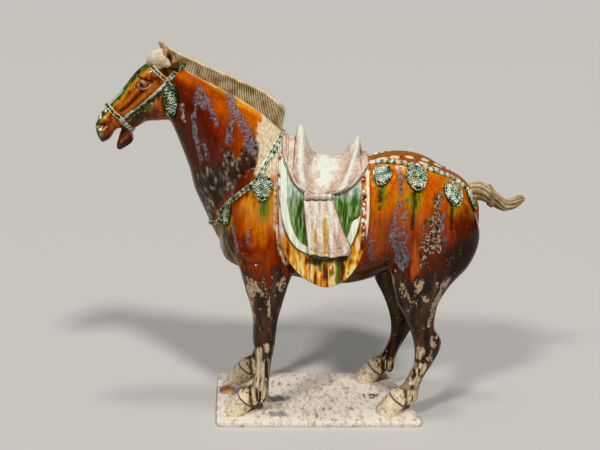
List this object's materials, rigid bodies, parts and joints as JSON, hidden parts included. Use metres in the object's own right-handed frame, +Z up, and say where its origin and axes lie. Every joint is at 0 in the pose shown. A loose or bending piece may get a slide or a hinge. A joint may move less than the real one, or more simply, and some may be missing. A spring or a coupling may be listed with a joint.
{
  "type": "pottery horse",
  "caption": "Saddled pottery horse standing on a thin slab, with dripping amber and green glaze, a clipped mane, harness rosettes and a knotted tail; stands free as a display figure",
  "frame": {"origin": "middle of the slab's underside", "axes": "+Z up; the horse looks along -X, with its tail toward +X; its left side faces -Y"},
  "size_m": [0.7365, 0.209, 0.65],
  "materials": {
    "glazed_pottery": "amber, green and cream lead glaze running over buff clay, with unglazed mane, saddle, cloth, tail, hooves and slab"
  },
  "bodies": {
    "root": {"sancai_horse": "glazed_pottery"}
  },
  "joints": []
}
